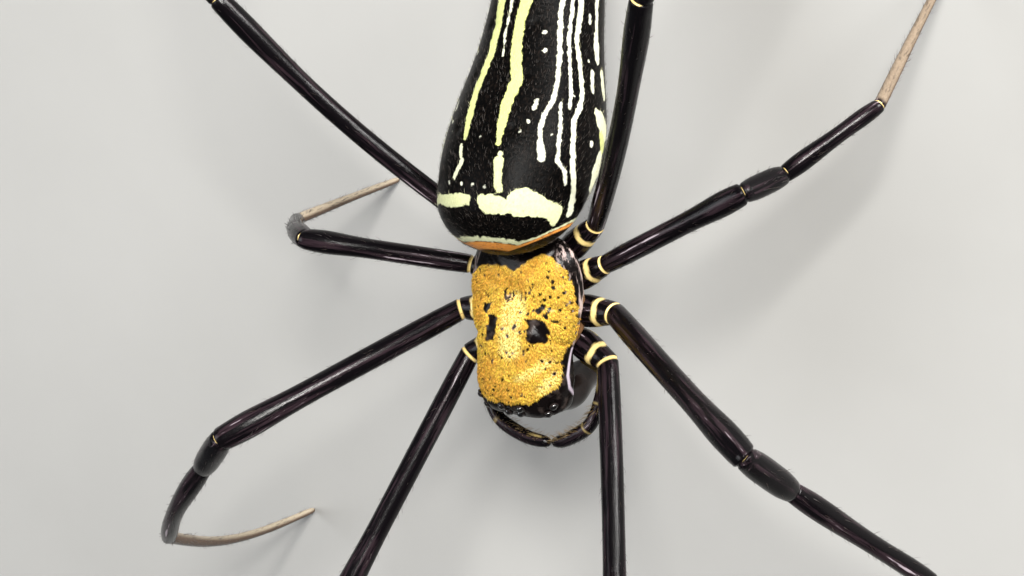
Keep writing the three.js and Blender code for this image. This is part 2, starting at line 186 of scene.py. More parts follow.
def swell(piece, depth):
    """Moves the corners out by a depth in millimetres, but not below the floor."""
    places = corners(piece) + corners(piece, "normal") * depth * MM
    places[:, 2] = np.maximum(places[:, 2], 0.0)
    move_corners(piece, places)
    return places


def root_into(piece, point, reach, fade):
    """Draws the end of a piece that is nearest to a point toward it, so that the piece is
    rooted in its neighbour. Reach and fade are in millimetres."""
    places = corners(piece)
    off = np.array(point) - places
    gap = np.linalg.norm(off, axis=1) / MM
    share = 1 - step(gap - gap.min(), 0.1, fade)
    way = unit((off * share[:, None]).sum(0))
    move_corners(piece, places + share[:, None] * way * reach * MM)


def paint(piece, name, values):
    """Stores three values for each corner as a colour."""
    layer = piece.data.attributes.new(name, "FLOAT_COLOR", "POINT")
    layer.data.foreach_set("color", np.insert(values, 3, 1.0, axis=1).ravel())


def lay(piece, values):
    """Stores a straightened place in millimetres for each corner, for patterns along a piece."""
    layer = piece.data.attributes.new("lie", "FLOAT_VECTOR", "POINT")
    layer.data.foreach_set("vector", values.ravel())


def step(values, low, high):
    """Smooth step from 0 at low to 1 at high."""
    share = np.clip((values - low) / np.maximum(high - low, 1e-9), 0, 1)
    return share * share * (3 - 2 * share)


def unit(ways):
    return ways / np.maximum(np.linalg.norm(ways, axis=-1, keepdims=True), 1e-12)


def brushed(along, across, strokes, stretch=1.0):
    """Signed distance in millimetres from each place to the nearest brush stroke, and that
    stroke's tint. A stroke is a tint and points of along, across and half width."""
    nearest = np.full(len(along), 9.0)
    tint = np.zeros(len(along))
    for colour, points in strokes:
        ends = points[1:] or points
        for (a0, c0, w0), (a1, c1, w1) in zip(points, ends):
            run = a1 - a0
            rise = (c1 - c0) * stretch
            size = run * run + rise * rise
            from_along = along - a0
            from_across = (across - c0) * stretch
            share = np.clip((from_along * run + from_across * rise) / np.maximum(size, 1e-9), 0, 1)
            gap = np.hypot(from_along - share * run, from_across - share * rise)
            gap = gap - (w0 + (w1 - w0) * share)
            closer = gap < nearest
            nearest = np.where(closer, gap, nearest)
            tint = np.where(closer, colour, tint)
    return nearest, tint


def within(x, y, outline):
    """Signed distance in millimetres to a closed outline, negative inside it."""
    closed = (*outline, outline[0])
    gap, _ = brushed(x, y, ((0, tuple((px, py, 0) for px, py in closed)),))
    inside = np.zeros(len(x), dtype=bool)
    for (x0, y0), (x1, y1) in zip(closed, closed[1:]):
        crosses = (y0 > y) != (y1 > y)
        inside ^= crosses & (x < x0 + (x1 - x0) * (y - y0) / (y1 - y0 or 1))
    return np.where(inside, -gap, gap)


# Finishes

class Finish:
    """A new material with its principled surface, and makers of the nodes that lead to it."""

    def __init__(self, name, specular, roughness=0.5, coat=0.0):
        self.material = bpy.data.materials.new(name)
        self.material.use_nodes = True
        self.tree = self.material.node_tree
        self.surface = self.tree.nodes["Principled BSDF"].inputs
        for key, value in (("Roughness", roughness), ("Specular IOR Level", specular),
                           ("Coat Weight", coat), ("Coat Roughness", 0.1)):
            self.surface[key].default_value = value

    def put(self, value, socket):
        """Sets a socket to a value, or links it to another socket."""
        if isinstance(value, bpy.types.NodeSocket):
            self.tree.links.new(value, socket)
        else:
            socket.default_value = value

    def node(self, kind, output=0, **values):
        """One output of a new node. Values go by the names of its settings, by the names of its
        sockets, or by the sockets' numbers after an i."""
        made = self.tree.nodes.new("ShaderNode" + kind)
        for key, value in values.items():
            if hasattr(made, key):
                setattr(made, key, value)
            else:
                numbered = key[0] == "i" and key[1:].isdigit()
                self.put(value, made.inputs[int(key[1:]) if numbered else key])
        return made.outputs[output]

    def ramp(self, factor, *stops):
        """Colour ramp with stops of place and colour, or place and grey."""
        made = self.node("ValToRGB", Fac=factor)
        bar = made.node.color_ramp
        while len(bar.elements) < len(stops):
            bar.elements.new(1.0)
        for element, (place, colour) in zip(bar.elements, stops):
            element.position = place
            element.color = (*colour, 1) if isinstance(colour, tuple) else (colour, colour, colour, 1)
        return made

    def blend(self, factor, first, second, mode="MIX"):
        """Mix of two colours, given as values or as sockets."""
        first, second = ((*value, 1) if isinstance(value, tuple) else value for value in (first, second))
        return self.node("Mix", 2, data_type="RGBA", blend_type=mode, i0=factor, i6=first, i7=second)

    def stored(self, name, output):
        return self.node("Attribute", output, attribute_name=name)

    def marks(self):
        """The three painted values of a skin."""
        return self.node("SeparateColor", Color=self.stored("marks", "Color")).node.outputs[:3]

    def grain(self, source, scale, stretch=(1, 1, 1), detail=4.0, roughness=0.6):
        """Noise at a place, which may be stretched first."""
        place = self.node("Mapping", Vector=source, Scale=stretch)
        return self.node("TexNoise", "Fac", Vector=place, Scale=scale, Detail=detail, Roughness=roughness)

    def cover(self, colour, *layers):
        """Colours the surface and lays bumps on it, one on another. A layer is a height, its
        depth in millimetres and its strength."""
        self.put(colour, self.surface["Base Color"])
        below = {}
        for height, depth, strength in layers:
            below["Normal"] = self.node("Bump", Height=height, Distance=depth * MM, Strength=strength,
                                        **below)
            self.put(below["Normal"], self.surface["Normal"])
        return self.material


def shell_finish():
    """Glossy black chitin with thin painted highlight streaks along the limb. Painted values: joint
    skin, which on the palps also holds a painted highlight line, brown of the shin, and cream
    painted light on the shin's lit side."""
    look = Finish("black_shell", 0.14)
    lie = look.stored("lie", "Vector")
    skin, brown, cream = look.marks()
    streaks = look.grain(lie, 2.4, (1, 1, 0.05), 5.0)
    pores = look.grain(lie, 9.0, (1, 1, 0.6), 3.0)
    # Painted highlights: the ramp's lightest stops paint thin light streaks along the limb.
    shell = look.ramp(streaks, (0.50, (0.002, 0.0015, 0.002)), (0.60, (0.018, 0.011, 0.014)),
                      (0.66, (0.022, 0.014, 0.017)), (0.69, (0.32, 0.27, 0.30)))
    tan = look.blend(pores, (0.022, 0.014, 0.011), (0.16, 0.10, 0.065))
    # Cream painted light for the shin's lit side, laid over its brown.
    painted_shin_light = look.blend(pores, (0.36, 0.29, 0.20), (0.70, 0.62, 0.48))
    joint_skin_and_palp_highlight = look.blend(pores, (0.66, 0.50, 0.20), (0.891, 0.675, 0.27))
    shell = look.blend(cream, look.blend(brown, shell, tan), painted_shin_light)
    look.put(look.ramp(pores, (0.3, 0.13), (0.75, 0.26)), look.surface["Roughness"])
    return look.cover(look.blend(skin, shell, joint_skin_and_palp_highlight), (streaks, 0.05, 0.7), (pores, 0.02, 0.5))


def belly_finish():
    """Satin skin of the abdomen. Painted values: distance to the pale strokes, tint, rim."""
    look = Finish("striped_skin", 0.035, 0.3)
    lie = look.stored("lie", "Vector")
    gap, tint, rim = look.marks()
    wobble = look.grain(lie, 2.6, detail=3.0)
    fine = look.grain(lie, 7.0, (1, 1, 0.5))
    creases = look.grain(lie, 1.6, (1, 1, 2.4), 6.0, 0.65)
    edge = look.node("Math", operation="MULTIPLY_ADD", i0=wobble, i1=0.22, i2=gap)
    inside = look.ramp(edge, (0.585, 1.0), (0.625, 0.0))
    specks = look.ramp(fine, (0.5, 0.0), (0.8, 1.0))
    ground = look.blend(specks, (0.001, 0.001, 0.001), (0.014, 0.010, 0.008))
    white = look.blend(fine, (0.44, 0.45, 0.36), (0.70, 0.70, 0.58))
    yellow = look.blend(fine, (0.36, 0.39, 0.12), (0.56, 0.59, 0.24))
    orange = look.blend(fine, (0.62, 0.18, 0.03), (0.85, 0.40, 0.09))
    colour = look.blend(inside, ground, look.blend(tint, white, yellow))
    return look.cover(look.blend(rim, colour, orange), (creases, 0.07, 0.55), (fine, 0.03, 0.6))


def hide_finish():
    """Carapace under its hair. Painted values: share of gold, then inside the gold pale and
    orange hair, and outside it a painted highlight line and grey streaks."""
    look = Finish("golden_hide", 0.10, 0.24)
    place = look.node("TexCoord", "Object")
    gold, painted_highlight_line, grey = look.marks()
    fine = look.grain(place, 2600.0, detail=3.0)
    coarse = look.grain(place, 700.0, detail=5.0)
    streaks = look.ramp(look.grain(place, 2600.0, (1, 0.1, 1)), (0.5, 0.0), (0.6, 1.0))
    grey = look.node("Math", operation="MULTIPLY", i0=grey, i1=streaks)
    specks = look.ramp(coarse, (0.52, 0.0), (0.75, 1.0))
    black = look.blend(specks, (0.003, 0.002, 0.002), (0.06, 0.045, 0.04))
    black = look.blend(grey, black, (0.36, 0.28, 0.26))
    # Painted highlight: a grey-purple line along the shoulder of each bald flank.
    black = look.blend(painted_highlight_line, black, (0.42, 0.36, 0.42))
    hair = look.blend(fine, (0.22, 0.11, 0.015), (0.58, 0.36, 0.05))
    return look.cover(look.blend(gold, black, hair), (coarse, 0.08, 0.6), (fine, 0.03, 0.6))


def hair_finish(name, roughness):
    """Hair that takes its colour from the tint stored on each tuft."""
    look = Finish(name, 0.4, roughness)
    fine = look.grain(look.node("TexCoord", "Object"), 1800.0, detail=2.0)
    shade = look.ramp(fine, (0.3, 0.35), (0.7, 1.0))
    return look.cover(look.blend(0.35, look.stored("tint", "Color"), shade, "MULTIPLY"))


def plain_finish(name, dark, light, roughness, scale, depth, specular=0.3, coat=0.0):
    """Two tones in a fine grain, on the object's own place. Depth is in millimetres."""
    look = Finish(name, specular, roughness, coat)
    mottle = look.grain(look.node("TexCoord", "Object"), scale, detail=5.0)
    return look.cover(look.blend(mottle, dark, light), (mottle, depth, 0.6))


black_shell = shell_finish()
striped_skin = belly_finish()
golden_hide = hide_finish()
golden_hair = hair_finish("golden_hair", 0.55)
bristle = hair_finish("bristle", 0.35)
jaw_shell = plain_finish("jaw_shell", (0.004, 0.003, 0.003), (0.02, 0.014, 0.013), roughness=0.12,
                         scale=900.0, depth=0.01, specular=0.14)
brown_shell = plain_finish("brown_shell", (0.05, 0.022, 0.012), (0.16, 0.08, 0.045), roughness=0.3,
                           scale=1500.0, depth=0.02, coat=0.2)
lens = plain_finish("eye_lens", (0.002, 0.002, 0.002), (0.006, 0.005, 0.004), roughness=0.05,
                    scale=200.0, depth=0.001, coat=0.8)
joint_skin = plain_finish("joint_skin", (0.05, 0.022, 0.01), (0.30, 0.15, 0.06), roughness=0.5,
                          scale=1400.0, depth=0.06)
studio_floor = plain_finish("studio_floor", (0.33, 0.327, 0.315), (0.37, 0.366, 0.355), roughness=0.75,
                            scale=40.0, depth=0.02)


# Hair

class Roots:
    """Random places spread evenly over a skin."""

    def __init__(self, piece, count, seed):
        mesh = piece.data
        mesh.calc_loop_triangles()
        triangles = np.empty(len(mesh.loop_triangles) * 3, dtype=np.int64)
        mesh.loop_triangles.foreach_get("vertices", triangles)
        triangles = triangles.reshape(-1, 3)
        places = corners(piece)
        a, b, c = (places[triangles[:, k]] for k in range(3))
        area = np.linalg.norm(np.cross(b - a, c - a), axis=1)
        self.random = np.random.default_rng(seed)
        chosen = triangles[self.random.choice(len(triangles), size=count, p=area / area.sum())]
        share = self.random.random((count, 2))
        over = share.sum(1) > 1
        share[over] = 1 - share[over]
        weights = np.stack([1 - share.sum(1), share[:, 0], share[:, 1]], axis=1)[:, :, None]
        self.place = (places[chosen] * weights).sum(1)
        self.out = unit((corners(piece, "normal")[chosen] * weights).sum(1))

    def keep(self, mask):
        self.place, self.out = self.place[mask], self.out[mask]

    def draw(self, low=0.0, spread=1.0):
        """A random value for each root, from low to low + spread."""
        return low + spread * self.random.random(len(self.place))

    def flat(self, ways):
        """Ways laid flat on the skin."""
        return unit(ways - self.out * (ways * self.out).sum(1, keepdims=True))

    def swung(self, ways, swing):
        """Ways laid flat on the skin and swung at random, within an angle in radians."""
        ways = self.flat(ways)
        turn = ((self.draw() - 0.5) * swing)[:, None]
        return ways * np.cos(turn) + np.cross(self.out, ways) * np.sin(turn)


def grow(name, roots, ways, length, width, rise, tint, spot, material, droop=0.2,
         rings=((0, 1), (0.45, 0.8))):
    """Solid tapered tufts. Each is three-sided, sunk a little at its root, rises by an angle in
    degrees and bends down toward its tip. Length and width are in millimetres, rings are shares
    of both, and spot is the root's place on the unwrapped skin."""
    side = np.cross(ways, roots.out)
    length, rise = length[:, None] * MM, np.radians(rise)[:, None]
    width = width * MM
    levels = []
    for share, girth in (*rings, (1.0, 0.0)):
        lift = share * np.sin(rise) - droop * share * share
        centre = roots.place + length * (ways * share * np.cos(rise) + roots.out * lift)
        if share == 0:
            centre = centre - roots.out * width
        if girth == 0:
            levels.append(centre[:, None])
            continue
        ring = [centre + width * girth * (side * math.cos(turn) + roots.out * 0.6 * math.sin(turn))
                for turn in map(math.radians, (90, 210, 330))]
        levels.append(np.stack(ring, axis=1))
    places = np.concatenate(levels, axis=1)
    count, each = places.shape[:2]
    last = each - 4
    edges = ((0, 1), (1, 2), (2, 0))
    pattern = [(ring + a, ring + b, ring + b + 3, ring + a + 3) for ring in range(0, last, 3)
               for a, b in edges] + [(last + a, last + b, each - 1) for a, b in edges]
    faces = [tuple(corner + start for corner in face)
             for start in range(0, count * each, each) for face in pattern]
    mesh = bpy.data.meshes.new(name)
    mesh.from_pydata(places.reshape(-1, 3).tolist(), [], faces)
    piece = bpy.data.objects.new(name, mesh)
    bpy.context.scene.collection.objects.link(piece)
    paint(piece, "tint", np.repeat(tint, each, axis=0))
    patch = 0.003
    local = np.array([(0.5 + 0.5 * math.cos(k), 0.5 + 0.5 * math.sin(k)) for k in range(each)])
    spots = (spot[:, None, :] * (1 - patch) + local * patch).reshape(-1, 2)
    loops = np.empty(len(mesh.loops), dtype=np.int64)
    mesh.loops.foreach_get("vertex_index", loops)
    mesh.uv_layers.new(name="OFBake").data.foreach_set("uv", spots[loops].ravel())
    finish(piece, name, material)


# Legs

def follow(places, path, bows):
    """For places near a path: distance along it, the way it runs there, the offset from it and
    the number of its length. A bow is how far the middle of a length stands off its straight line."""
    best = np.full(len(places), np.inf)
    along, part = np.zeros(len(places)), np.zeros(len(places), dtype=int)
    way, off = np.zeros(places.shape), np.zeros(places.shape)
    walked = 0.0
    for k, bow in enumerate(bows):
        run = path[k + 1] - path[k]
        size = np.linalg.norm(run)
        share = np.clip((places - path[k]) @ run / size ** 2, 0, 1)[:, None]
        rest = places - path[k] - share * run - np.sin(np.pi * share) * bow
        gap = np.linalg.norm(rest, axis=1)
        closer = gap < best
        best = np.where(closer, gap, best)
        part = np.where(closer, k, part)
        along = np.where(closer, walked + share[:, 0] * size, along)
        closer = closer[:, None]
        way = np.where(closer, unit(run + np.pi * np.cos(np.pi * share) * bow), way)
        off = np.where(closer, rest, off)
        walked += size
    return along, way, off, part


class Limb:
    """A leg's own measures in millimetres, read from its solids: the path through its joints,
    the bow of each length and its start along the path. The gaps at the joints are in metres."""

    def __init__(self, number, side):
        self.name = f"leg{number}_{side}"
        self.nodes = [f"{self.name}_{length}" for length in LENGTHS]
        ends = [cap_centres(name) for name in self.nodes]
        self.gaps = [facing_caps(ends[k], ends[k + 1]) for k in range(4)]
        inner = max(ends[0], key=lambda cap: (cap - self.gaps[0][0]).length)
        foot = min(ends[4], key=lambda cap: cap.z)
        self.path = np.array([inner, *((a + b) / 2 for a, b in self.gaps), foot]) / MM
        self.runs = np.diff(self.path, axis=0)
        self.bows = [self.bow(k) for k in range(5)]
        self.starts = np.concatenate([[0], np.cumsum(np.linalg.norm(self.runs, axis=1))])

    def bow(self, k):
        points = corners(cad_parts[self.nodes[k]]) / MM - self.path[k]
        share = points @ self.runs[k] / (self.runs[k] @ self.runs[k])
        middle = np.abs(share - 0.5) < 0.13
        rest = points[middle] - share[middle, None] * self.runs[k]
        return rest.mean(0) / np.sin(np.pi * share[middle]).mean()

    def straighten(self, places):
        """For each place: two offsets from the limb's axis and the distance along it, the number
        of the length that it lies on and the way along that length."""
        along, way, off, part = follow(places / MM, self.path, self.bows)
        hinge = unit(np.cross(self.runs, (0.0, 0.0, 1.0)))
        up = np.cross(hinge, unit(self.runs))
        lie = np.stack([(off * hinge[part]).sum(1), (off * up[part]).sum(1), along], axis=1)
        return lie, part, way


def cap_centres(name):
    """Centres of the flat round ends of a rod, each the middle of a flat fan of faces."""
    shape = bmesh.new()
    shape.from_mesh(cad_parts[name].data)
    bmesh.ops.remove_doubles(shape, verts=shape.verts, dist=WELD)
    fans = [(corner.co.copy(), corner.link_faces) for corner in shape.verts]
    found = [place for place, faces in fans
             if len(faces) >= 7 and all(face.normal.dot(faces[0].normal) > 0.999 for face in faces)]
    shape.free()
    return found


def facing_caps(first, second):
    """The two cap centres of neighbouring rods that face each other."""
    pairs = [(a, b) for a in first for b in second]
    return min(pairs, key=lambda pair: (pair[0] - pair[1]).length)


# Reach of a joint round its middle in millimetres, and the width left in its groove as a share
JOINT_REACH = 1.8
JOINT_GROOVE = 0.84


def bridge_joint(piece, gap):
    """Opens the two caps at a joint and closes the joint with a narrower band of skin."""
    middle = (gap[0] + gap[1]) / 2
    across = (gap[1] - gap[0]).normalized()
    with editing(piece, action="DESELECT"):
        pass
    for corner in piece.data.vertices:
        corner.select = min((corner.co - end).length for end in gap) < 0.01 * MM
    with editing(piece, action=None):
        bpy.ops.mesh.delete(type="VERT")
        bpy.ops.mesh.select_mode(type="EDGE")
        bpy.ops.mesh.select_all(action="DESELECT")
        bpy.ops.mesh.select_non_manifold(extend=False, use_wire=False, use_multi_face=False,
                                         use_verts=False)
        bpy.ops.transform.edge_crease(value=0.55)
        bpy.ops.mesh.bridge_edge_loops(number_cuts=2)
        bpy.ops.mesh.select_all(action="DESELECT")
    for corner in piece.data.vertices:
        off = corner.co - middle
        if off.length < JOINT_REACH * MM and abs(off.dot(across)) < 0.08 * MM:
            corner.co = middle + off * JOINT_GROOVE


def joint_lie(limb, places, k):
    """Distance in millimetres from each place to the plane of a joint, and to its middle."""
    inner, outer = (np.array(end) for end in limb.gaps[k])
    off = (places - (inner + outer) / 2) / MM
    return off @ unit(outer - inner), np.linalg.norm(off, axis=1)


# Half widths of the pale rings at the joints from the coxa outward, and of their patch on top
RING_HALVES = ((0.10, 0.10), (0.0, 0.07), (0.0, 0.04), (0.02, 0.06))

# Shares of the coxa's length where its own pale ring lies and where its soft underside ends
COXA_RING = 0.70
COXA_SOFT = 0.45

# Strength of the cream painted light on the shin's upper, lit side, and on two legs where it is stronger
SHIN_PAINTED_LIGHT = 0.22
SHIN_PAINTED_LIGHTS = {"leg2_right": 0.75, "leg3_right": 0.6}


def leg_marks(limb, places, out, lie):
    """Painted values of a leg: joint skin, brown, and cream painted light on the shin's lit side."""
    along = lie[:, 2]
    coxa, ankle = limb.starts[1], limb.starts[4]
    wave = 0.05 * np.sin(5 * np.arctan2(lie[:, 0], lie[:, 1]))
    skin = 1 - step(np.abs(along - coxa * COXA_RING + wave), 0.15, 0.25)
    skin = np.maximum(skin, (along < coxa * COXA_SOFT) * step(-out[:, 2], 0.1, 0.5) * 0.8)
    top = step(out @ unit(np.array((0.2, 0.5, 1.0))), 0.80, 0.95)
    for k, (half, patch) in enumerate(RING_HALVES):
        plane, reach = joint_lie(limb, places, k)
        wide = half + (patch - half) * top
        ring = (1 - step(np.abs(plane), wide * 0.8, wide * 1.3)) * (reach < JOINT_REACH)
        skin = np.maximum(skin, ring)
    shin = step(along, ankle + 0.12, ankle + 0.3)
    # Painted light: the shin's side facing up and to the rear, toward the light, is made cream.
    painted_light_side = step(out @ unit(np.array((0.1, 0.75, 0.6))), -0.1, 0.5)
    return np.stack([skin, shin, shin * painted_light_side * SHIN_PAINTED_LIGHTS.get(limb.name, SHIN_PAINTED_LIGHT)], axis=1)


def make_leg(number, side):
    limb = Limb(number, side)
    piece = welded(*limb.nodes)
    for gap in limb.gaps:
        bridge_joint(piece, gap)
    to_quads(piece)
    refine(piece, 2)
    places = swell(piece, 0.05)
    lie, _, _ = limb.straighten(places)
    lay(piece, lie)
    paint(piece, "marks", leg_marks(limb, places, corners(piece, "normal"), lie))
    finish(piece, f"{limb.name}_skin", black_shell, limb.nodes)
    make_leg_bristles(limb, piece, 40 + number * 2 + (side == "right"))
    make_claws(limb)


# Bristles of coxa, femur, patella, tibia and shin: share kept, and length in millimetres
BRISTLE_SHARES = np.array((0.15, 0.40, 0.45, 0.5, 1.0))
BRISTLE_LENGTHS = np.array((0.4, 0.55, 0.5, 0.6, 0.55))
BRISTLE_DARK = np.array((0.012, 0.008, 0.007))
BRISTLE_BROWN = np.array((0.09, 0.055, 0.035))


def make_leg_bristles(limb, skin, seed):
    """Fine dark bristles, pointing to the foot, closest on the shin."""
    roots = Roots(skin, 900, seed)
    lie, part, way = limb.straighten(roots.place)
    joints = np.min(np.abs(lie[:, [2]] - limb.starts[1:5]), axis=1)
    kept = (roots.draw() < BRISTLE_SHARES[part]) & (joints > 0.35) & (roots.place[:, 2] > 0.9 * MM)
    roots.keep(kept)
    lie, part, way = lie[kept], part[kept], way[kept]
    ways = roots.swung(way, 0.7)
    length = BRISTLE_LENGTHS[part] * roots.draw(0.6, 0.8)
    rise = roots.draw(18, 24)
    brown = roots.draw() * np.where(part == 4, 1.0, 0.25)
    tint = BRISTLE_DARK + (BRISTLE_BROWN - BRISTLE_DARK) * brown[:, None]
    spot = np.stack([np.arctan2(lie[:, 0], lie[:, 1]) / (2 * np.pi) + 0.5,
                     lie[:, 2] / limb.starts[5]], axis=1)
    grow(f"{limb.name}_bristles", roots, ways, length, 0.022, rise, tint, spot, bristle,
         rings=((0, 1), (0.5, 0.7)))


# Claws in millimetres: length, radius, start past the foot and beside it, spread of the tips
CLAW_LENGTH = 0.42
CLAW_GIRTH = 0.07
CLAW_START = (0.12, 0.11)
CLAW_SPREAD = 0.08


def make_claws(limb):
    """Two small hooked claws at the end of a foot, clear of the floor."""
    foot = limb.path[5] * MM
    way = unit(limb.runs[4] * (1, 1, 0))
    side = np.cross(way, (0, 0, 1))
    claws = []
    for turn in (-1, 1):
        bpy.ops.object.select_all(action="DESELECT")
        bpy.ops.mesh.primitive_cone_add(vertices=10, radius1=CLAW_GIRTH * MM, radius2=0.01 * MM,
                                        depth=CLAW_LENGTH * MM, location=(0, 0, CLAW_LENGTH / 2 * MM))
        claw = bpy.context.active_object
        place_in_mesh(claw)
        with editing(claw):
            bpy.ops.mesh.subdivide(number_cuts=3)
        x, y, z = corners(claw).T
        out = z / (CLAW_LENGTH * MM)
        hook = 0.28 * MM * (0.35 + 1.3 * out - 1.7 * out * out)
        start = foot + way * CLAW_START[0] * MM + side * turn * CLAW_START[1] * MM
        start[2] = max(start[2], 0.14 * MM)
        aside = x + out * turn * CLAW_SPREAD * MM
        places = start + z[:, None] * way + aside[:, None] * side
        places[:, 2] = np.maximum(places[:, 2] + y + hook - 0.05 * MM, 0.0)
        move_corners(claw, places)
        claws.append(claw)
    pick(*claws)
    bpy.ops.object.join()
    pair = bpy.context.view_layer.objects.active
    with editing(pair):
        bpy.ops.mesh.normals_make_consistent(inside=False)
    finish(pair, f"{limb.name}_claws", jaw_shell)


# Abdomen

# The abdomen's axis: its front end, fall to the rear, length and the sag of its middle
ABDOMEN_FRONT = (0.3, 4.7, 4.8)
ABDOMEN_SLANT = math.radians(24.0)
ABDOMEN_LENGTH = 32.8
ABDOMEN_SAG = 2.1

# Dimples on the back: distance along and angle, radius and depth
DIMPLES = [(place, turn) for place in (8.5, 12.5, 16.5, 20.5, 24.5) for turn in (-27, 21)]
DIMPLE_RADIUS = 0.45
DIMPLE_DEPTH = 0.12

# Orange rim in front: its place on top, and how much farther back it lies at the sides
RIM_PLACE = 0.45
RIM_BACK = 2.4

# Brush strokes on the abdomen. White is 0 and yellow 1. Points are the distance along,
# the angle from the top toward the left side in degrees, and the half width.
BACK_STROKES = (
    (0.9, ((7.6, -16, 0.16), (8.9, -17, 0.32), (11.8, -19, 0.36), (14.3, -16, 0.36),
           (18.4, -21, 0.42), (24, -23, 0.42), (29, -24, 0.3), (31.5, -26, 0.12))),
    (0.3, ((6.2, -17, 0.16), (7.1, -18.5, 0.18))),
    (0.3, ((4.7, -22, 0.16), (5.4, -18, 0.22), (6.0, -15, 0.2))),
    (1.0, ((7.2, 13, 0.16), (8.9, 12, 0.36), (10.8, 13, 0.42), (12.1, 16, 0.46), (13.4, 12, 0.42),
           (15.1, 8, 0.44), (16.9, 7, 0.38), (18.3, 10, 0.46), (24, 15, 0.42), (29, 18, 0.3),
           (31.5, 21, 0.12))),
    (0.5, ((6.5, 16, 0.2),)),
    (0.7, ((3.9, 20, 0.26), (5.0, 17, 0.3), (6.0, 16, 0.36))),
    (0.1, ((14, -2, 0.07), (15.8, -6, 0.10), (18.3, -6, 0.13), (24, -4, 0.10), (29, -3, 0.05))),
) + tuple((0.0, (dot,)) for dot in (
    (7.7, -2, 0.12), (4.4, -28, 0.16), (4.3, -13, 0.16), (4.2, -2, 0.12), (4.1, 8, 0.12),
))
BAND_STROKES = (
    (0.6, ((3.2, -60, 0.25), (3.35, -46, 0.36), (3.15, -33, 0.45), (3.1, -20, 0.48), (3.15, -8, 0.40))),
    (0.6, ((3.15, 7, 0.40), (2.9, 13, 0.70), (2.85, 22, 0.6), (2.85, 30, 0.48), (3.3, 39, 1.05),
            (3.2, 50, 0.82), (3.1, 60, 0.6), (3.0, 68, 0.62), (2.4, 72, 0.32))),
)
FLANK_STROKES = (
    (0.0, ((6.6, 45, 0.3), (7.6, 42, 0.27), (8.4, 40, 0.15), (9.8, 41, 0.18), (11, 46, 0.2),
           (12.3, 48, 0.17), (14.8, 47, 0.2), (17.4, 45, 0.18), (22, 46, 0.22), (27, 46, 0.18),
           (31, 44, 0.08))),
    (0.0, ((10.6, 60, 0.15), (12.8, 59, 0.14), (15.8, 55, 0.15), (18, 56, 0.15), (23, 57, 0.16),
           (29, 58, 0.1))),
    (0.0, ((5.1, 68, 0.12), (5.9, 65, 0.16), (6.6, 57, 0.16), (7.9, 55, 0.17), (9.3, 54, 0.16),
           (10.9, 52, 0.1))),
    (0.1, ((3.2, 82, 0.3), (5, 77, 0.25), (6.4, 70, 0.24), (8.1, 66, 0.24), (9.7, 64, 0.22),
           (11, 69, 0.24), (11.9, 71, 0.22), (14.5, 67, 0.22), (15.7, 63, 0.2), (17.5, 65, 0.24),
           (22, 68, 0.24), (30, 66, 0.1))),
    (0.0, ((17.5, 79, 0.12), (18.1, 79, 0.12))),
    (0.0, ((17.1, 91, 0.22), (20, 89, 0.25), (25, 88, 0.28), (29, 86, 0.12))),
    (0.1, ((14.9, 92, 0.3), (15.8, 91, 0.45), (16.7, 90, 0.3))),
    (0.0, ((12.4, 83, 0.2), (13.9, 83, 0.22))),
    (0.2, ((12.7, 105, 0.45), (14.1, 102, 0.4))),
    (0.3, ((11, 88, 0.3), (10.5, 95, 0.75), (9.9, 105, 0.8))),
    (1.0, ((9.5, 99, 0.55), (8.7, 102, 0.5))),
    (0.0, ((8.5, 84, 0.24),)),
    (0.2, ((7.8, 99, 0.5), (6.7, 99, 0.75), (5.6, 99, 0.4))),
    (0.2, ((5.4, 103, 0.15), (4, 104, 0.16), (2.8, 93, 0.2))),
    (0.0, ((10.9, 35, 0.13), (10.1, 33, 0.19))),
) + tuple((0.0, (dot,)) for dot in (
    (16, 32, 0.14), (14.6, 34, 0.21), (9.1, 31, 0.15), (8.3, 26, 0.11), (11.6, 63, 0.1),
    (14.6, 78, 0.1), (8.4, 49, 0.1),
))
BELLY_STROKES = tuple((0.8, (dot,)) for dot in (
    (10.5, 152, 0.5), (13, 147, 0.4), (16, 154, 0.45), (19, 148, 0.35), (22.5, 153, 0.4),
    (26, 150, 0.3),
)) + ((0.5, ((7.6, 125, 0.2), (7.9, 150, 0.4), (8.0, 179, 0.35))),)

# The pattern's middle line lies a little to the right of the top
PATTERN_MIDDLE = -5.0


def mirrored(strokes, middle):
    """The same strokes on the right side. Middle is the angle of the line between the sides."""
    return tuple((tint, tuple((along, 2 * middle - turn, half) for along, turn, half in points))
                 for tint, points in strokes)


ABDOMEN_STROKES = (BACK_STROKES + BAND_STROKES + FLANK_STROKES + mirrored(FLANK_STROKES, PATTERN_MIDDLE)
                   + BELLY_STROKES + mirrored(BELLY_STROKES, 0))


def abdomen_lie(places):
    """Straightened places on the abdomen: distance along, angle in degrees and reach from the axis."""
    off = (places - np.array(at(*ABDOMEN_FRONT))) / MM
    cosine, sine = math.cos(ABDOMEN_SLANT), math.sin(ABDOMEN_SLANT)
    along = off[:, 1] * cosine - off[:, 2] * sine
    share = along / ABDOMEN_LENGTH
    height = off[:, 1] * sine + off[:, 2] * cosine + ABDOMEN_SAG * 4 * share * (1 - share)
    return along, np.degrees(np.arctan2(off[:, 0], height)), np.hypot(off[:, 0], height)


def abdomen_marks(along, angle, reach):
    """Distance to the pale strokes, their tint, and the orange rim in front, which has a cream
    line behind it. Both end on the flanks."""
    gap, tint = brushed(along, angle, ABDOMEN_STROKES, np.radians(1) * reach)
    past = along - RIM_PLACE - RIM_BACK * step(np.abs(angle), 55, 100)
    sides = 1 - step(np.abs(angle), 100, 125)
    cream = np.abs(past - 0.20) - 0.14 * sides
    tint = np.where(cream < gap, 0.45, tint)
    rim = 1 - step(np.abs(past + 0.14), 0.13, 0.22)
    return np.stack([0.5 + np.minimum(gap, cream) * 0.5, tint, rim * sides], axis=1)


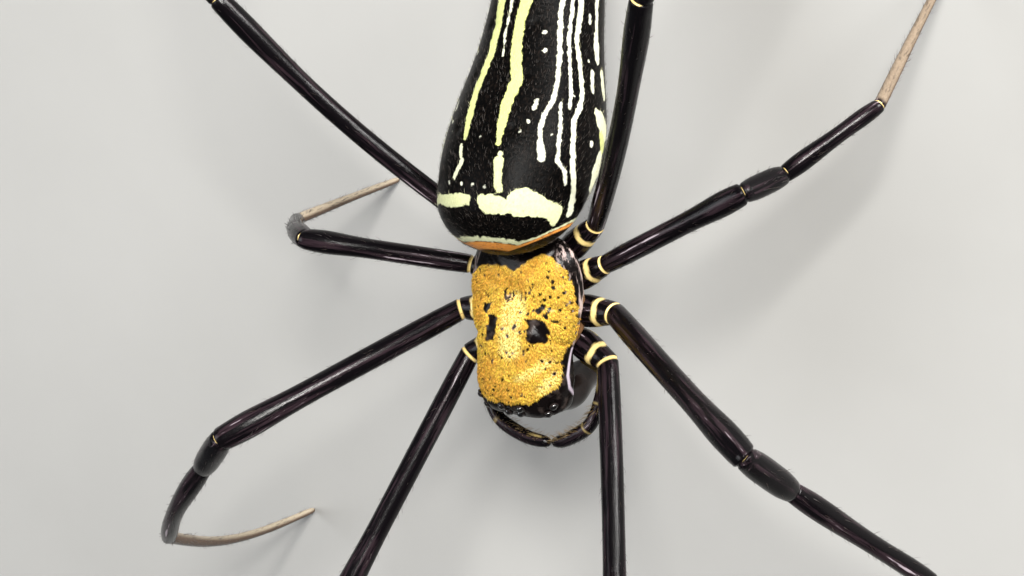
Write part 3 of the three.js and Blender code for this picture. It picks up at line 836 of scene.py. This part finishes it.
def make_abdomen():
    piece = smooth_copy("abdomen", 3)
    places = corners(piece)
    along, angle, reach = abdomen_lie(places)
    depth = np.zeros(len(places))
    for place, turn in DIMPLES:
        off = np.hypot(along - place, np.radians(angle - turn) * reach)
        depth += DIMPLE_DEPTH * np.exp(-(off / DIMPLE_RADIUS) ** 2)
    move_corners(piece, places - corners(piece, "normal") * depth[:, None] * MM)
    radians = np.radians(angle)
    lay(piece, np.stack([reach * np.sin(radians), reach * np.cos(radians), along], axis=1))
    paint(piece, "marks", abdomen_marks(along, angle, reach))
    finish(piece, "abdomen_skin", striped_skin, ["abdomen"])
    make_abdomen_hair(piece)


def make_abdomen_hair(skin):
    """Short fine hairs all over, pointing to the rear."""
    roots = Roots(skin, 7000, 5)
    along, angle, reach = abdomen_lie(roots.place)
    rear = np.array((0.0, math.cos(ABDOMEN_SLANT), -math.sin(ABDOMEN_SLANT)))
    ways = roots.swung(rear, 0.9)
    pale = 1 - step(abdomen_marks(along, angle, reach)[:, 0], 0.46, 0.54)
    dark = np.array((0.03, 0.024, 0.02)) * roots.draw(0.4, 1.6)[:, None]
    tint = dark + (np.array((0.6, 0.58, 0.36)) - dark) * pale[:, None]
    spot = np.stack([angle / 360 + 0.5, np.clip(along / ABDOMEN_LENGTH, 0, 1)], axis=1)
    grow("abdomen_hair", roots, ways, roots.draw(0.22, 0.28), 0.018, roots.draw(25, 20), tint, spot,
         bristle)


# Carapace

# Outline of the golden hair on the carapace, with the notch behind: places across and along
GOLD_OUTLINE = (
    (0.0, 2.97), (0.59, 3.48), (1.2, 4.0), (1.9, 4.38), (2.56, 4.3), (3.2, 3.85), (3.84, 3.25),
    (4.29, 2.1), (4.46, 0.4), (4.28, -1.3), (3.95, -2.3), (3.62, -2.8), (3.5, -3.6), (3.58, -4.7),
    (3.45, -5.5), (2.9, -5.85), (2.5, -6.1), (2.08, -6.45), (1.62, -6.78), (0.24, -7.02), (-1.05, -7.15),
    (-1.9, -7.1), (-2.8, -6.8), (-3.4, -6.2), (-3.6, -5.3), (-3.6, -3.6), (-3.75, -2.7), (-4.2, -1.6),
    (-4.45, 0.4), (-4.3, 1.7), (-3.9, 2.35), (-3.2, 2.9), (-2.4, 3.15), (-0.74, 3.32),
)
# Bald patches, marks and dots in the golden hair, then its paler and more orange parts.
# A stroke's points are across, along and half width
BALD_OUTLINES = (
    ((1.15, -0.33), (1.84, -0.28), (2.51, -0.25), (2.75, -0.5), (3.1, -1.15), (3.06, -1.4), (2.73, -1.24),
     (2.96, -1.6), (2.8, -2.02), (2.33, -1.91), (1.99, -2.0), (1.6, -1.85), (1.6, -1.07), (1.64, -0.73)),
    ((-1.95, -0.48), (-1.54, -0.30), (-1.10, -0.47), (-1.02, -1.1), (-1.2, -2.1), (-2.0, -2.3),
     (-1.84, -1.77), (-1.7, -0.99)),
    ((-2.52, 0.36), (-1.76, 0.42), (-1.9, 0.02), (-2.12, -0.38), (-2.45, -0.09)),
)
BALD_STROKES = tuple((0, points) for points in (
    ((2.07, 0.34, 0.13), (2.48, 0.74, 0.15)),
    ((2.17, 0.25, 0.12), (2.5, 0.54, 0.08)),
    ((2.94, 0.56, 0.09), (2.79, 0.28, 0.09), (2.74, -0.08, 0.14), (2.54, 0.1, 0.06)),
    ((3.2, -0.37, 0.11), (3.46, -0.38, 0.1)),
    ((-0.75, 1.4, 0.09), (-0.67, 0.88, 0.11)),
    ((-0.42, 1.12, 0.06), (-0.39, 0.87, 0.1)),
    ((-0.2, 1.58, 0.08), (-0.11, 0.9, 0.1)),
    ((0.56, 1.54, 0.07), (0.63, 0.98, 0.09)),
    ((1.06, 1.55, 0.06), (1.08, 1.1, 0.09)),
)) + tuple((0, (dot,)) for dot in (
    (-0.52, -1.18, 0.12), (0.38, -1.06, 0.12), (3.02, 2.52, 0.1), (3.08, 2.11, 0.15),
    (3.81, 1.77, 0.14), (2.26, 1.6, 0.11), (3.48, 1.41, 0.09), (4.25, 0.91, 0.09),
    (4.2, 0.28, 0.08), (0.48, -2.87, 0.09), (1.39, -2.61, 0.09), (1.34, -2.86, 0.1),
    (-1.31, -3.84, 0.13), (-1.57, -3.41, 0.08), (2.6, -3.31, 0.1), (3.05, -3.41, 0.11),
    (3.37, -3.59, 0.1), (-0.66, -3.23, 0.1), (-2.42, -5.43, 0.1), (-1.14, -5.7, 0.1),
    (0.53, -5.82, 0.08), (0.15, -6.3, 0.07), (1.32, -6.13, 0.06),
))
PALE_STROKES = (
    (0, ((0.2, -2.4, 0.9), (0.1, -0.8, 0.8), (0.2, 0.5, 1.0))),
    (0, ((0.95, -4.7, 0.2), (1.85, -4.1, 0.3), (2.8, -3.4, 0.35))),
    (0, ((0.2, 1.6, 0.13), (0.27, 0.8, 0.16))),
    (0, ((3.2, -4.6, 0.4), (2.6, -5.5, 0.3))),
)
ORANGE_STROKES = (
    (0, ((-2.6, -5.4, 1.0), (-0.4, -6.0, 0.8), (0.9, -5.6, 0.4))),
    (0, ((-1.4, -3.8, 0.4), (-2.2, -4.9, 0.6))),
    (0, ((0.9, -3.4, 0.2), (2.1, -2.9, 0.2))),
    (0, ((-3.0, -0.5, 0.6), (-3.3, 1.5, 0.6), (-2.0, 2.6, 0.5), (-0.4, 2.2, 0.4))),
    (0, ((0.7, 1.9, 0.3), (0.9, 3.0, 0.4), (1.5, 3.9, 0.3))),
)
# Painted highlight line along both sides of the head, on the bald flank: places along and up, and half
# width
SIDE_HIGHLIGHT_LINE = ((0, ((-2.85, 1.2, 0.05), (-4.77, 1.75, 0.09), (-5.75, 1.6, 0.08), (-6.4, 1.0, 0.06))),)


def head_lie(places):
    """Places in millimetres from the body's middle, with the head's turn taken back."""
    off = (places - np.array(BODY)) / MM
    across, along = off[:, 0], off[:, 1] - HEAD_PIVOT
    cosine, sine = math.cos(HEAD_TURN), math.sin(HEAD_TURN)
    return cosine * across + sine * along, cosine * along - sine * across + HEAD_PIVOT, off[:, 2]


def carapace_marks(places, pits):
    """Share of gold hair. Inside it pale and orange hair, outside it a painted highlight line and
    grey streaks. Each pit is a place across, along and up, and its radius."""
    x, y, z = head_lie(places)
    wave = 0.05 * np.sin(9 * y) * np.sin(7 * x + 2 * y)
    bald, _ = brushed(x, y, BALD_STROKES)
    for outline in BALD_OUTLINES:
        bald = np.minimum(bald, within(x, y, outline))
    for px, py, pz, radius in pits:
        bald = np.minimum(bald, np.sqrt((x - px) ** 2 + (y - py) ** 2 + (z - pz) ** 2) - radius)
    gold = (1 - step(within(x, y, GOLD_OUTLINE) + wave, -0.05, 0.06)) * step(bald + wave, -0.03, 0.05)
    pale, _ = brushed(x, y, PALE_STROKES)
    orange, _ = brushed(x, y, ORANGE_STROKES)
    # Painted highlight line along the head's sides, outside the gold.
    painted_highlight_line, _ = brushed(y, z, SIDE_HIGHLIGHT_LINE)
    painted_highlight_line = (1 - step(painted_highlight_line, 0.0, 0.12)) * (np.abs(x) > 3)
    flank = step(y, -2.9, -2.3) * step(np.abs(x), 2.6, 3.4) * (1 - step(z, 1.9, 2.5))
    return np.stack([gold, np.where(gold > 0.5, 1 - step(pale, -0.4, 0.3), painted_highlight_line),
                     np.where(gold > 0.5, 0.8 * (1 - step(orange, -0.3, 0.6)), flank)], axis=1)


# Grooves behind the head and toward the legs: both ends across and along, half width and depth
GROOVES = ((0.3, 1.2, 3.9, -2.6, 0.32, 0.2), (0.5, 1.4, 4.6, 0.2, 0.3, 0.1),
           (0.5, 1.7, 4.6, 2.6, 0.3, 0.1), (0.3, 2.0, 2.8, 4.4, 0.3, 0.1))

# Knobs under the side eyes, each across, along and up: places, radii and height
KNOB_PLACE = (3.0, -7.0, 2.0)
KNOB_RADII = (0.5, 0.5, 0.7)
KNOB_HEIGHT = 0.25

# Ridge over the front eyes: height of its line, half width and how far it stands out
BROW_PLACE = 2.7
BROW_HALF = 0.6
BROW_HEIGHT = 0.22


def carve_carapace(places, out):
    """Grooves on the carapace, knobs under the side eyes and a ridge over the front ones."""
    x, y, z = head_lie(places)
    depth = np.zeros(len(x))
    for x0, y0, x1, y1, half, deep in GROOVES:
        for side in (1, -1):
            gap, _ = brushed(x * side, y, ((0, ((x0, y0, 0), (x1, y1, 0))),))
            depth += deep * np.exp(-(gap / half) ** 2)
    off = sum(((value - middle) / radius) ** 2
              for value, middle, radius in zip((np.abs(x), y, z), KNOB_PLACE, KNOB_RADII))
    brow = BROW_HEIGHT * np.exp(-((z - BROW_PLACE) / BROW_HALF) ** 2) * step(-y, 7.1, 7.5)
    rise = np.maximum(KNOB_HEIGHT * np.exp(-off), brow) - depth * step(z, 1.0, 2.2)
    return places + out * (rise * MM)[:, None]


def make_carapace():
    piece = remeshed("carapace", 0.17, 14)
    refine(piece, 1)
    move_corners(piece, carve_carapace(corners(piece), corners(piece, "normal")))
    pits = np.stack(head_lie(Roots(piece, 560, 12).place), axis=1)
    radius = np.random.default_rng(13).random((len(pits), 1)) ** 2 * 0.08 + 0.05
    pits = np.concatenate([pits, radius], axis=1)
    paint(piece, "marks", carapace_marks(corners(piece), pits))
    finish(piece, "carapace_skin", golden_hide, ["carapace"])
    make_golden_hair(piece, pits)


GOLD = np.array((0.93, 0.61, 0.065))
PALE_GOLD = np.array((0.94, 0.90, 0.32))
ORANGE = np.array((0.78, 0.33, 0.03))


def make_golden_hair(skin, pits):
    """Dense short golden hair, gone at the pits and on the bald marks, also where its tips
    would cover them."""
    roots = Roots(skin, 38000, 11)
    marks = carapace_marks(roots.place, pits)
    reach = roots.flat(np.array((0.0, -1.0, 0.0))) * 0.14 * MM
    clear = carapace_marks(roots.place + reach, pits)[:, 0] > 0.5
    kept = (roots.draw() < marks[:, 0]) & clear & (roots.out[:, 2] > -0.1)
    roots.keep(kept)
    marks = marks[kept]
    x, y, z = head_lie(roots.place)
    outward = np.stack([x * 0.12, np.full(len(x), -1.0), np.zeros(len(x))], axis=1)
    ways = roots.swung(outward, 1.6)
    gold = GOLD * roots.draw(0.45, 0.65)[:, None]
    gold[:, 1] *= roots.draw(0.8, 0.35)
    pale = PALE_GOLD * roots.draw(0.8, 0.3)[:, None]
    orange = ORANGE * roots.draw(0.55, 0.6)[:, None]
    tint = gold + (pale - gold) * (marks[:, 1] * roots.draw(0.7, 0.3))[:, None]
    tint = tint + (orange - tint) * (marks[:, 2] * roots.draw(0.4, 0.6))[:, None]
    spot = np.stack([np.arctan2(x, z + 1) / np.pi + 0.5, (y + 8.5) / 15], axis=1)
    grow("golden_hair", roots, ways, roots.draw(0.18, 0.22), 0.036, roots.draw(14, 24), tint, spot,
         golden_hair)


# Head, underside and rear end

def make_eyes():
    """Polished round lenses, each in a black rim square to the way from inside the head."""
    for name in (f"eye_{place}_{side}" for place in EYES for side in SIDES):
        low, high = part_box(name)
        centre = (low + high) / 2
        radius = (high.z - low.z) / 2
        bpy.ops.mesh.primitive_uv_sphere_add(segments=32, ring_count=16, radius=radius,
                                             location=centre)
        eye = bpy.context.active_object
        place_in_mesh(eye)
        finish(eye, name + "_lens", lens, [name])
        out = (centre - Vector((BODY.x, centre.y + 2.2 * MM, BODY.z + 1.0 * MM))).normalized()
        bpy.ops.mesh.primitive_torus_add(major_radius=radius * 1.02, minor_radius=0.07 * MM,
                                         major_segments=28, minor_segments=10,
                                         location=centre + out * 0.05 * MM,
                                         rotation=out.to_track_quat("Z", "Y").to_euler())
        ring = bpy.context.active_object
        place_in_mesh(ring)
        finish(ring, name + "_rim", jaw_shell)


def make_mouthparts():
    for side in SIDES:
        jaw, fang = f"jaw_{side}", f"fang_{side}"
        low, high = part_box(jaw)
        middle = (low + high) / 2
        piece = smooth_copy(jaw, 3)
        root_into(piece, (middle.x, middle.y + 1.0 * MM, high.z + 2.0 * MM), 0.7, 2.0)
        finish(piece, f"{jaw}_shell", jaw_shell, [jaw])
        piece = smooth_copy(fang, 3)
        fang_low, fang_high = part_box(fang)
        fang_root = (middle.x, (fang_low.y + fang_high.y) / 2 - 0.3 * MM, low.z + 1.0 * MM)
        root_into(piece, fang_root, 0.85, 0.9)
        finish(piece, f"{fang}_shell", brown_shell, [fang])
        make_palp(side)


# Middle lines of the palps from their base to their tip
PALP_PATHS = {
    "left": ((2.35, -4.75, -2.35), (4.25, -5.6, -2.1), (4.75, -7.1, -0.9), (4.5, -8.4, -0.15),
             (3.85, -9.5, 0.0), (2.75, -10.25, 0.05), (1.6, -10.85, 0.0), (0.58, -11.12, -0.1)),
    "right": ((-2.35, -4.75, -2.35), (-4.4, -5.6, -2.1), (-4.95, -7.0, -1.0), (-4.65, -8.55, -0.15),
              (-4.05, -9.5, 0.05), (-3.0, -10.2, 0.1), (-1.4, -10.9, 0.05), (0.28, -11.15, -0.1)),
}
# Distances along them: the joints, the start of the fringe and where the pale base fades
PALP_JOINTS = (2.6, 5.0, 7.1)
PALP_FRINGE = 5.0
PALP_BASE = {"left": (3.4, 4.4), "right": (1.5, 2.0)}


def palp_lie(places, side):
    """Distance along a palp in millimetres, the way it runs there and the offset from its path."""
    path = np.array(PALP_PATHS[side])
    return follow((places - np.array(BODY)) / MM, path, np.zeros((len(path) - 1, 3)))[:3]


def make_palp(side):
    piece = smooth_copy(f"palp_{side}", 2)
    along, _, off = palp_lie(swell(piece, 0.06), side)
    reach = np.hypot(off[:, 0], off[:, 1]) * np.sign(off[:, 1])
    lay(piece, np.stack([reach, off[:, 2], along], axis=1))
    skin = 0.5 * (1 - step(along, *PALP_BASE[side]))
    for joint in PALP_JOINTS:
        skin = np.maximum(skin, 0.3 * (1 - step(np.abs(along - joint), 0.02, 0.12)))
    # Painted highlight: a pale line on the upper inner edge of the palp's last lengths, where light
    # glints.
    edge = corners(piece, "normal") @ unit(np.array((0.0, 0.9, 0.5)))
    skin = np.maximum(skin, 0.4 * step(edge, 0.94, 0.98) * step(along, PALP_FRINGE, 5.6))
    paint(piece, "marks", np.stack([skin, skin * 0, skin * 0], axis=1))
    finish(piece, f"palp_{side}_skin", black_shell, [f"palp_{side}"])
    make_palp_bristles(piece, side)


def make_palp_bristles(skin, side):
    """Fine hair, longest on the inner edge of the last two lengths."""
    roots = Roots(skin, 900, 60 + (side == "right"))
    along, way, off = palp_lie(roots.place, side)
    fringe = (off[:, 1] > 0.12) & (along > PALP_FRINGE)
    kept = (roots.draw() < 0.35) | fringe
    roots.keep(kept)
    along, way, off, fringe = along[kept], way[kept], off[kept], fringe[kept]
    tint = np.where(fringe[:, None], (0.20, 0.13, 0.05), (0.015, 0.01, 0.009))
    tint = tint * roots.draw(0.5, 0.9)[:, None]
    ways = roots.swung(way, 0.8)
    length = roots.draw(0.3, 0.3) + fringe * roots.draw(0, 0.45)
    rise = roots.draw(25, 25) + 20 * fringe
    spot = np.stack([np.clip(np.arctan2(off[:, 2], off[:, 1]) / 6.4 + 0.5, 0, 1),
                     np.clip(along / 14, 0, 1)], axis=1)
    grow(f"palp_{side}_bristles", roots, ways, length, 0.02, rise, tint, spot, bristle,
         droop=0.25)


def make_underside():
    plate = smooth_copy("breast_plate", 3)
    finish(plate, "breast_plate_shell", jaw_shell, ["breast_plate"])
    stalk = smooth_copy("waist", 3)
    finish(stalk, "waist_skin", joint_skin, ["waist"])
    make_side_skin()


# Middle and radii of the side skin
SIDE_SKIN_MIDDLE = (0, 0, -0.15)
SIDE_SKIN_RADII = (4.25, 5.0, 1.15)


def make_side_skin():
    """Soft folded skin that closes the gap between the carapace, the breast plate and the coxae."""
    bpy.ops.mesh.primitive_uv_sphere_add(segments=48, ring_count=16, radius=1.0)
    piece = bpy.context.active_object
    off = corners(piece) * np.array(SIDE_SKIN_RADII)
    fold = 1 + 0.03 * np.sin(22 * np.arctan2(off[:, 1], off[:, 0])) * np.cos(off[:, 2] * 2)
    move_corners(piece, np.array(at(*SIDE_SKIN_MIDDLE)) + off * fold[:, None] * MM)
    finish(piece, "side_skin", joint_skin)


def make_spinnerets():
    piece = remeshed("spinnerets", 0.09, 4)
    low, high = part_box("spinnerets")
    middle = (low + high) / 2
    root_into(piece, (middle.x, middle.y - 0.5 * MM, high.z + 2.0 * MM), 0.9, 1.4)
    finish(piece, "spinnerets_skin", brown_shell, ["spinnerets"])


# Studio

# Lights: place and size in metres, power in watts and colour
LIGHTS = {
    "key": ((0.26, 0.28, 0.44), 0.14, 5.6, (1.0, 0.98, 0.94)),
    "fill": ((-0.30, 0.10, 0.45), 0.28, 1.5, (0.94, 0.97, 1.0)),
    "edge": ((0.42, 0.34, 0.13), 0.20, 5.0, (1.0, 0.98, 0.96)),
}


def make_camera():
    camera = bpy.data.objects.new("camera", bpy.data.cameras.new("camera"))
    bpy.context.scene.collection.objects.link(camera)
    camera.location = at(*CAMERA_PLACE)
    camera.rotation_euler = Euler([math.radians(turn) for turn in CAMERA_TURN])
    camera.data.lens = CAMERA_LENS
    camera.data.sensor_width = 36.0
    camera.data.clip_start = 0.01
    bpy.context.scene.camera = camera


def make_light(name, place, size, power, colour):
    """Square soft light that faces the spider."""
    bpy.ops.object.light_add(type="AREA", location=place)
    light = bpy.context.active_object
    light.name = name
    light.data.size = size
    light.data.energy = power
    light.data.color = colour
    light.rotation_euler = (Vector(place) - BODY).to_track_quat("Z", "Y").to_euler()


def make_studio():
    bpy.ops.mesh.primitive_plane_add(size=3.0, location=(0, 0, 0))
    floor = bpy.context.active_object
    floor.name = "floor"
    floor.data.materials.append(studio_floor)
    for name, settings in LIGHTS.items():
        make_light(name, *settings)
    world = bpy.data.worlds.new("studio")
    world.use_nodes = True
    background = world.node_tree.nodes["Background"]
    background.inputs["Color"].default_value = (0.9, 0.93, 1.0, 1)
    background.inputs["Strength"].default_value = 0.15
    bpy.context.scene.world = world
    bpy.context.scene.view_settings.view_transform = "Standard"


make_camera()
make_studio()
make_carapace()
make_eyes()
make_mouthparts()
make_underside()
make_abdomen()
make_spinnerets()
for leg_number in (1, 2, 3, 4):
    for leg_side in SIDES:
        make_leg(leg_number, leg_side)
